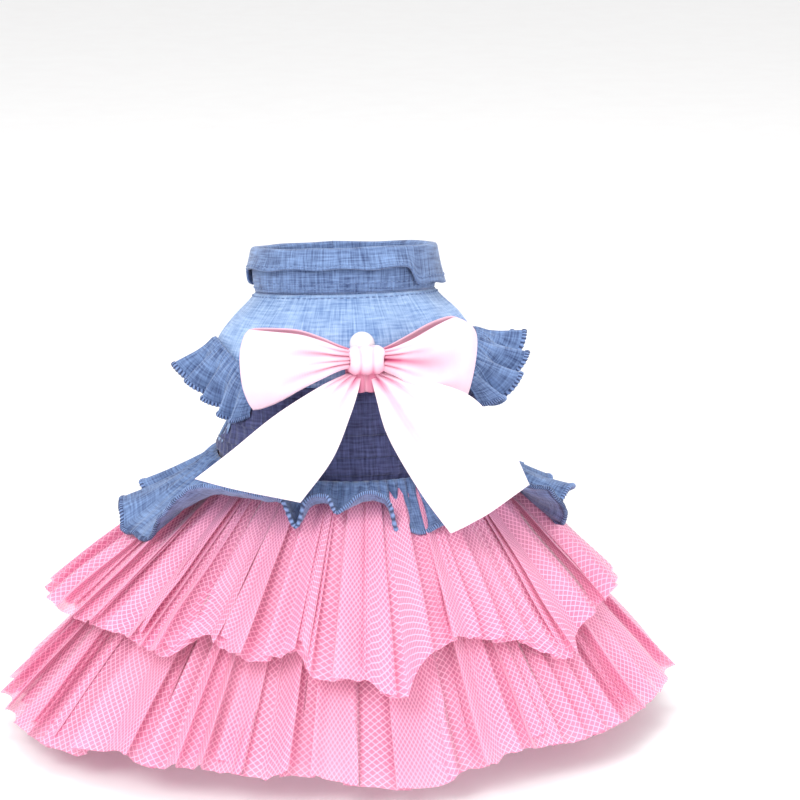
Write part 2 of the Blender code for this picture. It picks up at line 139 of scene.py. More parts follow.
def new_material(name, roughness, **settings):
    """A material and its shader, with the values that are the same all over it."""
    made = bpy.data.materials.new(name)
    made.use_nodes = True
    shader = made.node_tree.nodes["Principled BSDF"]
    shader.inputs["Roughness"].default_value = roughness
    for socket, value in settings.items():
        shader.inputs[socket.replace("_", " ")].default_value = value
    return made, shader


def woven(name, pale, deep, slub, nap):
    """Plain-woven cotton: two sets of uneven threads, seen as short pale and deep streaks that cross, over a slow
    change of tone. Real threads lie 0.35 mm apart, too fine to show, so the streaks are drawn at the slub's width
    in millimetres and 12 times as long. Cotton has no gloss, only a soft nap that catches the light."""
    made, shader = new_material(name, 0.88, Sheen_Weight=0.25, Sheen_Roughness=0.5)
    cloth_map = node(made, "ShaderNodeUVMap", {}, uv_map="cloth").outputs["UV"]
    threads = []
    for fine, along in (((1 / slub, 0.083 / slub, 1), 3.0), ((0.083 / slub, 1 / slub, 1), 9.0)):
        scaled = node(made, "ShaderNodeVectorMath", {0: cloth_map, 1: fine}, operation="MULTIPLY").outputs[0]
        moved = node(made, "ShaderNodeVectorMath", {0: scaled, 1: (along,) * 3}, operation="ADD").outputs[0]
        streaks = node(made, "ShaderNodeTexNoise", {"Vector": moved, "Scale": 1.0, "Detail": 3.0})
        threads.append(streaks.outputs["Fac"])
    both = node(made, "ShaderNodeMath", {0: threads[0], 1: threads[1]}, operation="ADD").outputs[0]
    wash = node(made, "ShaderNodeTexNoise", {"Vector": cloth_map, "Scale": 0.09, "Detail": 4.0}).outputs["Fac"]
    tone = node(made, "ShaderNodeMath", {0: wash, 1: 0.55, 2: both}, operation="MULTIPLY_ADD").outputs[0]
    spread = node(made, "ShaderNodeMapRange", {"Value": tone, "From Min": 0.95, "From Max": 1.62}).outputs[0]
    colour = node(made, "ShaderNodeMix", {0: spread, 6: rgb(deep), 7: rgb(pale)}, data_type="RGBA").outputs[2]
    made.node_tree.links.new(colour, shader.inputs["Base Color"])
    weave = node(made, "ShaderNodeBump", {"Strength": nap, "Distance": 0.0006, "Height": both})
    made.node_tree.links.new(weave.outputs[0], shader.inputs["Normal"])
    return made


def finish(bm, name, look, wall=0.0):
    """An object from a bmesh, with its material, and a wall that lies half to each side."""
    mesh = bpy.data.meshes.new(name)
    bm.to_mesh(mesh)
    bm.free()
    mesh.materials.append(look)
    mesh.shade_smooth()
    made = bpy.data.objects.new(name, mesh)
    bpy.context.scene.collection.objects.link(made)
    if wall:
        solid = made.modifiers.new("wall", "SOLIDIFY")
        solid.thickness = wall
        solid.offset = 0.0
    return made


def cloth(name, columns, rows, place, size, look, wall=CLOTH_WALL, closed=False):
    """A sheet whose points go where place(u, v) says. Its UV map gives millimetres along the cloth."""
    bm = bmesh.new()
    bmesh.ops.create_grid(bm, x_segments=columns, y_segments=rows, size=0.5)
    layer = bm.loops.layers.uv.new("cloth")
    for face in bm.faces:
        for loop in face.loops:
            co = loop.vert.co
            loop[layer].uv = ((co.x + 0.5) * size[0] * 1000, (co.y + 0.5) * size[1] * 1000)
    for vert in bm.verts:
        vert.co = place(vert.co.x + 0.5, vert.co.y + 0.5)
    if closed:
        bmesh.ops.remove_doubles(bm, verts=bm.verts, dist=0.00001)
    bm.normal_update()
    middle = Vector((0, -WAIST_LEAN, 0))
    weight = Vector((1, 1, 0.3))
    outward = 0.0
    for face in bm.faces:
        outward += face.normal.dot((face.calc_center_median() - middle) * weight) * face.calc_area()
    if outward < 0:
        bmesh.ops.reverse_faces(bm, faces=bm.faces)
    return finish(bm, name, look, wall)


def settle(piece):
    """The piece's modifiers become its mesh."""
    view = bpy.context.evaluated_depsgraph_get()
    shaped = bpy.data.meshes.new_from_object(piece.evaluated_get(view))
    piece.modifiers.clear()
    piece.data = shaped


def keep(piece, slot, *nodes):
    """The piece stays with the dress and stands for these solids, which are hidden. Its slot is not used."""
    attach(piece, "root")
    if nodes:
        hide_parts(*nodes)


def armhole_cutter():
    """A rod through both sides of the bodice, in the outline of its armholes."""
    bm = bmesh.new()
    bmesh.ops.create_cone(
        bm, cap_ends=True, segments=72, radius1=0.5, radius2=0.5, depth=4 * CHEST_HALF_WIDTH
    )
    middle = -BODICE_DROP + ARMHOLE_MARGIN + ARMHOLE_HEIGHT / 2
    for vert in bm.verts:
        x, y, z = vert.co
        vert.co = Vector((z, y * ARMHOLE_WIDTH + ARMHOLE_FORWARD, middle - x * ARMHOLE_HEIGHT))
    return finish(bm, "armhole_cutter", chambray)


def cut_armholes(piece):
    """The piece less its share of the armholes."""
    cutter = armhole_cutter()
    boolean = piece.modifiers.new("armholes", "BOOLEAN")
    boolean.operation = "DIFFERENCE"
    boolean.solver = "EXACT"
    boolean.object = cutter
    settle(piece)
    bpy.data.objects.remove(cutter, do_unlink=True)


def yoke_place(u, v):
    turn = math.tau * (u - 0.5)
    down = YOKE_SHARE * v
    drag = 0.0007 * math.sin(9 * turn + 5 * v) * math.sin(math.pi * v) * bump(abs(turn) - 1.0, 0.5)
    fade = math.sin(math.pi * min(v * 1.4, 1.0))
    creases = YOKE_CREASE * noise.noise(Vector((turn * 2.2, v * 1.7, 4.0))) * fade
    return bodice_point(turn, down) + bodice_out(turn, down) * (drag + creases)


chambray = woven("slub_chambray", "#A9C4E8", "#5D7FB4", 0.9, 0.35)
yoke = cloth("yoke_cloth", 220, 36, yoke_place, (0.345, 0.036), chambray, closed=True)
cut_armholes(yoke)
keep(yoke, "chambray", "yoke")

# Waist panel. The lower back and belly, in dark indigo denim, taken in by three stitched tucks whose folds point
# down. Its armhole edges are bound together with the yoke's, in one chambray strip on each side.
SEAM_GAP = 0.0005
TUCK_LIFT = 0.0013
TUCKS = (
    (0.00, 0.0), (0.30, 0.0), (0.415, 1.0), (0.43, 0.9), (0.44, 0.0), (0.56, 0.05), (0.645, 1.0), (0.66, 0.9),
    (0.67, 0.0), (0.76, 0.05), (0.835, 1.0), (0.85, 0.9), (0.86, 0.0), (1.00, 0.0),
)
BINDING_HALF_WIDTH = 0.0026
BINDING_HALF_THICKNESS = 0.0013
panel_top = YOKE_SHARE + SEAM_GAP / BODICE_DROP


def waist_place(u, v):
    turn = math.tau * (u - 0.5)
    down = panel_top + (1 - panel_top) * v
    tuck = TUCK_LIFT * read(TUCKS, v, 1) * (1 + math.cos(turn)) / 2
    uneven = 6 * noise.noise(Vector((turn * 3, 2.0, 0)))
    pucker = 0.0004 * math.sin(70 * turn + uneven) * math.sin(math.pi * v) ** 0.5
    rumple = 0.0008 * noise.noise(Vector((turn * 3.0, v * 4.0, 9.0))) * math.sin(math.pi * v)
    return bodice_point(turn, down, tuck + pucker + rumple)


def tube(name, path, across, out, half_across, half_out, look, closed=False, ridge=0.0, pitch=0.0012):
    """A bound or overcast edge along a path: a flat roll, with a ridge for each turn of its thread."""
    around = 8
    last = len(path) - 1
    length = sum((path[i + 1] - path[i]).length for i in range(last))

    def roll_place(u, v):
        i = round(u * last) % last if closed else round(u * last)
        turn = math.tau * v
        swell = 1 + ridge * math.sin(math.tau * u * length / pitch)
        side = across[i] * math.cos(turn) * half_across + out[i] * math.sin(turn) * half_out
        return path[i] + side * swell

    bm = bmesh.new()
    bmesh.ops.create_grid(bm, x_segments=last, y_segments=around, size=0.5)
    layer = bm.loops.layers.uv.new("cloth")
    for face in bm.faces:
        for loop in face.loops:
            co = loop.vert.co
            loop[layer].uv = ((co.x + 0.5) * length * 1000, (co.y + 0.5) * 4 * half_across * 1000)
    for vert in bm.verts:
        vert.co = roll_place(vert.co.x + 0.5, vert.co.y + 0.5)
    bmesh.ops.remove_doubles(bm, verts=bm.verts, dist=0.00001)
    bmesh.ops.holes_fill(bm, edges=[edge for edge in bm.edges if edge.is_boundary])
    bmesh.ops.recalc_face_normals(bm, faces=bm.faces)
    return finish(bm, name, look)


def armhole_binding(side):
    """The strip that wraps the edge of one armhole."""
    middle = -BODICE_DROP + ARMHOLE_MARGIN + ARMHOLE_HEIGHT / 2
    path, across, out = [], [], []
    for i in range(121):
        turn = math.tau * i / 120
        y = math.cos(turn) * ARMHOLE_WIDTH / 2 + ARMHOLE_FORWARD
        z = middle + math.sin(turn) * ARMHOLE_HEIGHT / 2
        hit, normal, _, _ = bodice_surface.ray_cast(Vector((side * 0.2, y, z)), Vector((-side, 0, 0)))
        normal = normal if normal.x * side > 0 else -normal
        outward = Vector((0, math.cos(turn) * ARMHOLE_HEIGHT, math.sin(turn) * ARMHOLE_WIDTH)).normalized()
        path.append(hit)
        out.append(normal)
        across.append((outward - normal * outward.dot(normal)).normalized())
    return tube(
        f"armhole_binding_{'right' if side > 0 else 'left'}", path, across, out, BINDING_HALF_WIDTH,
        BINDING_HALF_THICKNESS, chambray, closed=True,
    )


indigo = woven("indigo_denim", "#565C8C", "#24264A", 0.8, 0.4)
waist = cloth("waist_cloth", 300, 90, waist_place, (0.345, 0.037), indigo, closed=True)
bodice_grid = bmesh.new()
bmesh.ops.create_grid(bodice_grid, x_segments=160, y_segments=60, size=0.5)
for vert in bodice_grid.verts:
    vert.co = bodice_point(math.tau * vert.co.x, vert.co.y + 0.5)
bodice_surface = BVHTree.FromBMesh(bodice_grid)
bodice_grid.free()
cut_armholes(waist)
keep(waist, "indigo", "waist_panel")
for side in (-1, 1):
    keep(armhole_binding(side), "chambray")

# Belly placket. A plain chambray strip that closes the bodice under the belly, stitched down along both edges.
PLACKET_WIDTH = 0.016
PLACKET_MARGIN = 0.0015


def placket_place(u, v):
    turn = math.pi + PLACKET_WIDTH / CHEST_HALF_DEPTH * (u - 0.5)
    share = PLACKET_MARGIN / BODICE_DROP
    return bodice_point(turn, share + (1 - 4 * share) * v, 0.0016)


def stitches(name, spots, length, radius, look):
    """A row of machine stitches: short rounded beads of thread, each along its own stretch of the seam."""
    bm = bmesh.new()
    for point, along, out in spots:
        side = out.cross(along).normalized()
        turned = Matrix((along.normalized(), side, out)).transposed().to_4x4()
        size = Matrix.Diagonal((length / 2, radius, radius * 0.7, 1.0))
        bmesh.ops.create_uvsphere(
            bm, u_segments=6, v_segments=4, radius=1.0, matrix=Matrix.Translation(point) @ turned @ size
        )
    return finish(bm, name, look)


def row_of_spots(line, length, pitch, first=0.0, last=1.0):
    """Where the stitches of one seam lie: line(share) gives a point of the seam and the way out of the cloth."""
    steps = max(int(length * (last - first) / pitch), 1)
    spots = []
    for i in range(steps):
        share = first + (last - first) * (i + 0.5) / steps
        point, out = line(share)
        along = line(share + 0.004)[0] - line(share - 0.004)[0]
        spots.append((point, along, out))
    return spots


thread, thread_shader = new_material("cotton_thread", 0.7, Sheen_Weight=0.3)
# Spun cotton sewing thread, a little lighter than the denim, with a faint change along it.
thread_place = node(thread, "ShaderNodeTexCoord", {}).outputs["Object"]
thread_fibre = node(thread, "ShaderNodeTexNoise", {"Vector": thread_place, "Scale": 900.0}).outputs["Fac"]
thread_colour = node(
    thread, "ShaderNodeMix", {0: thread_fibre, 6: rgb("#3F5A8C"), 7: rgb("#7C98C6")}, data_type="RGBA"
)
thread.node_tree.links.new(thread_colour.outputs[2], thread_shader.inputs["Base Color"])

placket = cloth("placket_cloth", 10, 60, placket_place, (0.016, 0.062), chambray)
keep(placket, "chambray", "belly_placket")


def placket_line(u):
    """A row of stitches down the placket, at a share of its width."""
    def line(v):
        return placket_place(u, v) + Vector((0, 0.0005, 0)), Vector((0, 1, 0))
    return line


placket_spots = []
for edge in (0.12, 0.88):
    placket_spots += row_of_spots(placket_line(edge), 0.06, 0.0028, 0.02, 0.98)
keep(stitches("placket_stitching", placket_spots, 0.0019, 0.00028, thread), "chambray")

# Collar. A standing band of mid-blue denim sewn into the neck, and a leaf that folds over its top edge and turns
# down outside it. The leaf is shallow across the back and comes down to the seam at its ends. Two rows of stitches
# run along the foot of the band, and one along the edge of the leaf.
STAND_HEIGHT = 0.016
LEAF_DROP = 0.0065
LEAF_FLARE = 0.0022
LEAF = (
    (-0.50, 2.20), (-0.32, 2.15), (-0.285, 1.90), (-0.25, 1.05), (-0.22, 1.00), (0.085, 1.00), (0.098, 1.15),
    (0.112, 2.00), (0.125, 2.15), (0.50, 2.20),
)
# Section of the leaf, from inside the band over its edge and down outside it: share of the way along it, where it
# lies from -1 inside the band to 1 outside it, share of the drop, and how far above the band's edge in metres.
LEAF_SECTION = (
    (0.00, -1.0, 0.0, -0.0040), (0.20, -0.9, 0.0, 0.0006), (0.32, -0.5, 0.0, 0.0019), (0.42, 0.2, 0.0, 0.0023),
    (0.52, 0.8, 0.0, 0.0016), (0.62, 1.0, 0.12, 0.0), (0.80, 1.0, 0.55, 0.0), (1.00, 1.0, 1.0, 0.0),
)
collar_lift = CLOTH_WALL / 2 + 0.0004


def collar_point(turn, outward, height):
    """A point above the neck seam, at a height along the tilted axis of the neck."""
    wobble = 0.0007 * noise.noise(Vector((turn * 1.3, height * 60, 1.0)))
    neck_axis = Vector((0, math.sin(NECK_TILT), math.cos(NECK_TILT)))
    return bodice_point(turn, 0.0, outward + wobble) + neck_axis * height


def stand_place(u, v):
    turn = math.tau * (u - 0.5)
    return collar_point(turn, 0.0006 * math.sin(math.pi * v), collar_lift + STAND_HEIGHT * v)


def leaf_place(u, v):
    turn = math.tau * (u - 0.5)
    hang = read(LEAF_SECTION, v, 2)
    drop = LEAF_DROP * read(LEAF, u - 0.5, 1) + 0.0004 * math.sin(11 * turn)
    rise = read(LEAF_SECTION, v, 3) * (0.8 + 0.35 * noise.noise(Vector((turn * 1.7, 0, 3.0))))
    height = collar_lift + STAND_HEIGHT + rise - drop * hang
    soft = 0.0009 * math.sin(5 * turn + 1.0) * hang
    roll = 0.0017 * read(LEAF_SECTION, v, 1)
    return collar_point(turn, roll + LEAF_FLARE * hang + soft * hang, height)


denim = woven("washed_denim", "#7F9CCB", "#31446F", 0.8, 0.45)
stand = cloth("collar_stand_cloth", 200, 14, stand_place, (0.245, 0.016), denim, closed=True)
keep(stand, "denim", "collar_stand")
leaf = cloth("collar_leaf_cloth", 260, 30, leaf_place, (0.255, 0.019), denim, closed=True)
keep(leaf, "denim", "collar_leaf")


def collar_line(height, outward):
    """A row of stitches round the collar at a height above its seam."""
    def line(share):
        turn = math.tau * (share - 0.5)
        level = Vector((math.sin(turn), -math.cos(turn), 0))
        return collar_point(turn, outward, height), level
    return line


collar_spots = row_of_spots(collar_line(0.0024, 0.0008), 0.245, 0.0027)
collar_spots += row_of_spots(collar_line(0.0046, 0.0009), 0.245, 0.0027)


def leaf_line(share):
    turn = math.tau * (share - 0.5)
    point = leaf_place(share, 0.90)
    level = Vector((math.sin(turn), -math.cos(turn), 0))
    return point + level * CLOTH_WALL * 0.7, level


collar_spots += row_of_spots(leaf_line, 0.255, 0.0027)
collar_spots += row_of_spots(
    lambda share: (
        yoke_place(share, 0.045) + bodice_out(math.tau * (share - 0.5), 0.02) * CLOTH_WALL * 0.7,
        bodice_out(math.tau * (share - 0.5), 0.02),
    ),
    0.25, 0.0027,
)
keep(stitches("collar_stitching", collar_spots, 0.0019, 0.0003, thread), "denim")

# Shoulder frills. A strip of the same denim on each shoulder, gathered on a thread, sewn down along a curve from the
# front to the back and left free outside it. Its raw edge is overcast with blue thread, which stiffens and ripples it.
FRILL_DEPTH = 0.021
FRILL_WALL = 0.0008
SEAM = (
    (0.00, 118, 0.36, 52), (0.18, 106, 0.30, 54), (0.38, 87, 0.27, 46), (0.58, 70, 0.31, 38), (0.78, 56, 0.38, 33),
    (1.00, 44, 0.44, 30),
)
# Free edge of each frill: share along it, how far it turns off the shoulder in degrees beyond the seam's own stand,
# and its depth as a share.
LEFT_FLUTES = (
    (0.00, 0, 0.80), (0.08, -20, 0.95), (0.17, 16, 1.00), (0.26, -22, 0.95), (0.35, 14, 1.00), (0.44, -24, 0.95),
    (0.52, 6, 1.00), (0.60, -30, 0.95), (0.67, -2, 1.02), (0.74, -30, 1.00), (0.80, -8, 1.05), (0.86, -26, 1.04),
    (0.92, -8, 1.00), (1.00, -20, 0.75),
)
RIGHT_FLUTES = (
    (0.00, 0, 0.80), (0.09, -18, 0.95), (0.19, 18, 1.00), (0.29, -22, 0.95), (0.39, 20, 1.00), (0.48, -20, 0.95),
    (0.57, 22, 1.04), (0.66, -18, 0.96), (0.75, 24, 1.04), (0.83, -22, 0.98), (0.91, 12, 1.00), (1.00, -8, 0.75),
)


def frill_frame(side, along):
    """Point, way round, way out and way down of a frill's seam at a share along it."""
    def at(share):
        share = min(max(share, 0.0), 1.0)
        return bodice_point(side * math.radians(read(SEAM, share, 1)), read(SEAM, share, 2))
    out = bodice_out(side * math.radians(read(SEAM, along, 1)), read(SEAM, along, 2))
    around = (at(along + 0.02) - at(along - 0.02)).normalized()
    away = out.cross(around).normalized() * side
    return at(along), around, out, away


def frill_maker(side, flutes, share):
    """Where the points of one shoulder frill lie."""
    def place(u, v):
        point, around, out, away = frill_frame(side, u)
        stand = math.radians(read(SEAM, u, 3) * share + read(flutes, u, 1) * v ** 0.7)
        reach = FRILL_DEPTH * read(flutes, u, 2) * v
        curl = 0.0025 * v * v
        gather = 0.0007 * math.sin(math.tau * 26 * u) * math.exp(-3.2 * v) * min(v * 14, 1.0)
        crease = 0.0012 * noise.noise(Vector((u * 14, v * 1.5, side * 5.0))) * v
        flare = away * math.cos(stand) + out * math.sin(stand)
        face = out * math.cos(stand) - away * math.sin(stand)
        lift = CLOTH_WALL / 2 + 0.0003 + FRILL_WALL / 2 + 0.0006
        return point + out * lift + flare * reach + face * (gather + crease - curl)
    return place


def overcast(name, place, points, look, last=1.0, half=0.00085):
    """The overcast edge along the hem of a frill."""
    path, across, out = [], [], []
    for i in range(points + 1):
        u = i / points
        here = place(u, last)
        along = (place(min(u + 0.001, 1.0), last) - place(max(u - 0.001, 0.0), last)).normalized()
        inward = (place(u, last - 0.06) - here).normalized()
        path.append(here)
        across.append(inward)
        out.append(along.cross(inward).normalized())
    return tube(name, path, across, out, half * 1.25, half, look, ridge=0.22)


overcast_thread, overcast_shader = new_material("overcast_thread", 0.8, Sheen_Weight=0.2)
# Loops of blue cotton thread laid side by side over the cut edge, about 1.2 mm apart, with a painted highlight on
# top of each loop and painted shade between them.
overcast_map = node(overcast_thread, "ShaderNodeUVMap", {}, uv_map="cloth").outputs["UV"]
overcast_loop_highlight_and_shade = node(
    overcast_thread, "ShaderNodeTexWave",
    {"Vector": overcast_map, "Scale": 0.26, "Distortion": 3.0, "Detail": 2.0}, bands_direction="X",
).outputs["Fac"]
overcast_colour = node(
    overcast_thread, "ShaderNodeMix", {0: overcast_loop_highlight_and_shade, 6: rgb("#26345C"), 7: rgb("#7F9ACB")}, data_type="RGBA"
)
overcast_thread.node_tree.links.new(overcast_colour.outputs[2], overcast_shader.inputs["Base Color"])

for side, label, flutes, share in ((-1, "left", LEFT_FLUTES, 0.55), (1, "right", RIGHT_FLUTES, 0.95)):
    place = frill_maker(side, flutes, share)
    frill = cloth(f"frill_{label}_cloth", 240, 22, place, (0.13, 0.021), denim, FRILL_WALL)
    edge = overcast(f"frill_{label}_overcast", place, 420, overcast_thread)
    keep(frill, "denim", f"frill_{label}")
    keep(edge, "denim")

# Lower skirt tier. Long lengths of pink tulle in two layers, gathered into the waist seam and left raw at the hem.
# The net is stiff, so its folds stay sharp and spread like a fan, and layers of it turn from pale to deep pink.
SKIRT_WRAP = math.radians(244)
LOWER_OUT_SIDE = 0.086
LOWER_OUT_BACK = 0.060
LOWER_DOWN_SIDE = 0.101
LOWER_DOWN_BACK = 0.102
LOWER_SWAY = -0.002
# Hem of the lower tier: degrees from the centre back, millimetres below the waist seam.
LOWER_HEM = (
    (-122, 101), (-106, 103), (-91, 104), (-75, 104), (-64, 103), (-53, 98), (-46, 101), (-37, 99), (-23.5, 101),
    (-17, 99.6), (-3, 104.5), (11, 105.5), (16, 101), (21.5, 101), (25.5, 98), (31, 97.7), (46, 98.5), (70, 97),
    (95, 99), (122, 101),
)


def between(turn, side, back):
    """A size that goes from its value at the centre back to its value at the sides."""
    share = math.sin(turn) ** 2
    return side * share + back * (1 - share)


def lower_reach(turn, fall):
    """How far the lower tier stands out where it hangs this far below the waist."""
    out = between(turn, LOWER_OUT_SIDE, LOWER_OUT_BACK)
    return out * (max(fall, 0.0) / between(turn, LOWER_DOWN_SIDE, LOWER_DOWN_BACK)) ** 1.06


# Section of one pleat: share along the cloth, share of the way round, height as a share.
PLEAT = (
    (0.0, 0.0, 0.0), (0.10, 0.14, 0.22), (0.22, 0.32, 0.52), (0.34, 0.50, 0.80), (0.45, 0.66, 1.0),
    (0.52, 0.70, 0.97), (0.60, 0.62, 0.62), (0.68, 0.54, 0.22), (0.76, 0.56, 0.0), (0.88, 0.78, -0.06),
)


def pleats(count, seed, overlap):
    """Folds of gathered net in order: share along the cloth, share round the waist, height of the fold. Each
    fold runs out slowly, turns back under itself and goes on."""
    chance = random.Random(seed)
    widths = [chance.uniform(0.45, 1.55) for _ in range(count)]
    total = sum(widths)
    columns = []
    passed = 0.0
    for width in widths:
        high = chance.uniform(0.45, 1.25)
        turn_back = overlap * chance.uniform(0.4, 1.3)
        lean = chance.choice((-1, 1, 1))
        cells = []
        for share, place, height in PLEAT:
            tucked = place if share < 0.5 else place - turn_back * math.sin(math.pi * (share - 0.5) / 0.5)
            cells.append((share, tucked, height * high))
        if lean < 0:
            cells = [(0.0, 0.0, 0.0)] + [(1 - s, 1 - p, h) for s, p, h in reversed(cells[1:])]
        for share, place, height in cells:
            columns.append(((passed + share * width) / total, (passed + place * width) / total, height))
        passed += width
    columns.append((1.0, 1.0, 0.0))
    return columns


def tulle_layer(name, folds, rows, hem, reach, seat, sway, depth, offset, flat, seed):
    """One layer of a tier: pleats that start flat at the waist and open to the hem."""
    last = len(folds) - 1

    def place(u, v):
        share, around, height = folds[round(u * last)]
        turn = SKIRT_WRAP * (around - 0.5)
        ragged = 0.0012 * noise.noise(Vector((share * 160, seed, 0)))
        down = read(hem, math.degrees(turn), 1) / 1000 + ragged + offset * 0.4
        start = bodice_point(turn, 1.0, seat)
        out = Vector((math.sin(turn), -math.cos(turn), 0))
        fall = down * v
        away = reach(turn, fall) + offset * v
        face = (out * down + Vector((0, 0, reach(turn, down)))).normalized()
        opened = 0.16 + 0.84 * v ** 0.8
        lift = depth * height * opened
        crumple = 0.0022 * noise.noise(Vector((share * 26, v * 2.2, seed))) * v
        crisp = 0.0010 * noise.noise(Vector((share * 90, v * 1.1, seed + 7.0))) * v ** 0.5
        settle_down = 0.0012 * noise.noise(Vector((share * 40, v * 3.0, seed + 3.0)))
        relief = lift + crumple + crisp + settle_down * v
        return start + out * away + Vector((sway * v, 0, -fall - 0.0008)) + face * relief

    return cloth_of_columns(name, folds, rows, place, flat, tulle)


def cloth_of_columns(name, columns, rows, place, size, look, wall=0.0):
    """A sheet with uneven columns, whose UV map follows their shares along the cloth."""
    made = cloth(name, len(columns) - 1, rows, place, (1.0, size[1]), look, wall)
    layer = made.data.uv_layers["cloth"]
    last = len(columns) - 1
    for loop in layer.data:
        loop.uv.x = columns[round(loop.uv.x / 1000 * last)][0] * size[0] * 1000
    return made


# Polyester tulle, a knitted hexagon net with holes of about 1 mm, dyed pink, semi-matt with a soft sheen. The net
# is drawn as two sets of slanting threads 1.4 mm apart, coarser than it is so that it shows, and its holes stay
# half closed for the finer threads that a picture this size can't show.
tulle, tulle_shader = new_material("pink_tulle", 0.55, Sheen_Weight=0.5, Sheen_Roughness=0.35)
tulle_map = node(tulle, "ShaderNodeUVMap", {}, uv_map="cloth").outputs["UV"]
tulle_threads = []
for slant in ((0.62, 0.36, 0.0), (0.62, -0.36, 0.0)):
    across_net = node(tulle, "ShaderNodeVectorMath", {0: tulle_map, 1: slant}, operation="DOT_PRODUCT")
    saw = node(tulle, "ShaderNodeMath", {0: across_net.outputs["Value"], 1: 0.5}, operation="PINGPONG").outputs[0]
    tulle_threads.append(
        node(tulle, "ShaderNodeMapRange", {"Value": saw, "From Min": 0.13, "From Max": 0.04}).outputs[0]
    )
tulle_net = node(
    tulle, "ShaderNodeMath", {0: tulle_threads[0], 1: tulle_threads[1]}, operation="MAXIMUM"
).outputs[0]
tulle_cover = node(
    tulle, "ShaderNodeMapRange", {"Value": tulle_net, "To Min": 0.62, "To Max": 0.98}
).outputs[0]
tulle_tone = node(tulle, "ShaderNodeTexNoise", {"Vector": tulle_map, "Scale": 0.03, "Detail": 3.0})
tulle_dye = node(
    tulle, "ShaderNodeMix", {0: tulle_tone.outputs["Fac"], 6: rgb("#F07FAE"), 7: rgb("#FFA9CC")}, data_type="RGBA"
)
tulle_colour = node(
    tulle, "ShaderNodeMix", {0: tulle_net, 6: tulle_dye.outputs[2], 7: rgb("#FFC3DC")}, data_type="RGBA"
)
tulle.node_tree.links.new(tulle_colour.outputs[2], tulle_shader.inputs["Base Color"])
tulle.node_tree.links.new(tulle_cover, tulle_shader.inputs["Alpha"])

lower_layers = (
    ("tulle_lower_outer", 36, 11, 0.0062, 0.0),
    ("tulle_lower_middle", 32, 12, 0.0055, -0.0045),
    ("tulle_lower_inner", 28, 13, 0.0045, -0.0085),
)
for name, count, seed, depth, offset in lower_layers:
    flat = (0.62, 0.121)
    layer = tulle_layer(
        name, pleats(count, seed, 0.16), 34, LOWER_HEM, lower_reach, 0.0, LOWER_SWAY, depth, offset, flat, seed
    )
    keep(layer, "tulle", "tulle_lower")

# Upper skirt tier. The same tulle, cut shorter and gathered over the lower tier into the same seam. It is pushed out
# by the tier below, and its hem falls unevenly where folds open.
UPPER_DOWN_SIDE = 0.066
UPPER_DOWN_BACK = 0.063
UPPER_LIFT = 0.012
UPPER_SWAY = -0.007
UPPER_HEM = (
    (-122, 60), (-106, 61), (-92, 60), (-80, 57), (-65, 55.3), (-57.5, 55), (-46, 58), (-42, 53), (-37, 49.5),
    (-34, 53), (-27, 56), (-20, 55), (-15.5, 52.5), (-13.5, 59), (-8.5, 62), (0.0, 63), (2.0, 67), (7.5, 69),
    (9.5, 62.5), (14, 56.5), (17.5, 54), (23.5, 52), (31, 55), (38, 57.5), (43, 65), (47.5, 67), (52, 61),
    (60, 58), (70, 57.5), (92, 60), (122, 61),
)


def upper_reach(turn, fall):
    """How far the upper tier stands out: it lies over the lower one and opens away from it."""
    down = between(turn, UPPER_DOWN_SIDE, UPPER_DOWN_BACK)
    return lower_reach(turn, fall) + UPPER_LIFT * (max(fall, 0.0) / down) ** 0.85


upper_layers = (
    ("tulle_upper_outer", 38, 21, 0.0060, 0.0015),
    ("tulle_upper_middle", 34, 22, 0.0052, -0.0025),
    ("tulle_upper_inner", 30, 23, 0.0045, -0.0060),
)
for name, count, seed, depth, offset in upper_layers:
    flat = (0.50, 0.083)
    layer = tulle_layer(
        name, pleats(count, seed, 0.18), 26, UPPER_HEM, upper_reach, 0.0016, UPPER_SWAY, depth, offset, flat, seed
    )
    keep(layer, "tulle", "tulle_upper")

# Peplum. A short frill of the washed denim over the top of the skirt, gathered into the waist seam and thrown into
# big uneven flutes that show its dark inner face. Its raw edge is overcast like the shoulder frills'.
PEPLUM_LAP = 0.003
PEPLUM_GATHERS = 62
PEPLUM_GATHER_DEPTH = 0.0016
# Free edge of the peplum: degrees from the centre back, millimetres out from the waist, millimetres above its seam.
PEPLUM_EDGE = (
    (-122, 28, -23), (-115, 38, -18), (-108, 29, -27), (-101, 40, -20), (-94, 41, -20), (-90, 40, -28),
    (-84, 36, -28), (-78, 35, -26), (-74, 33, -24), (-67, 34, -14), (-60, 34, -3), (-54, 32, 2), (-46, 30, 5),
    (-39, 28, 4), (-34, 26, 3), (-28, 23, 1), (-24.5, 20, -11), (-21.5, 20, -1.5), (-15, 20, 3), (-12, 17, -5),
    (-9, 16, -3), (-4, 18, 3.5), (2, 17, 2), (6, 14, -4), (8.5, 12, -15), (14, 13, -16), (20, 15, -15.5),
    (27, 17, -12), (34, 20, -12.5), (38, 21, -4), (44, 24, 1), (51, 28, -1), (58, 33, -6), (64, 36, -14),
    (69, 36, -21), (73, 34, -27), (79, 29, -27), (85, 36, -18), (92, 40, -20), (98, 31, -27), (105, 38, -20),
    (112, 30, -26), (118, 37, -20), (122, 30, -23),
)


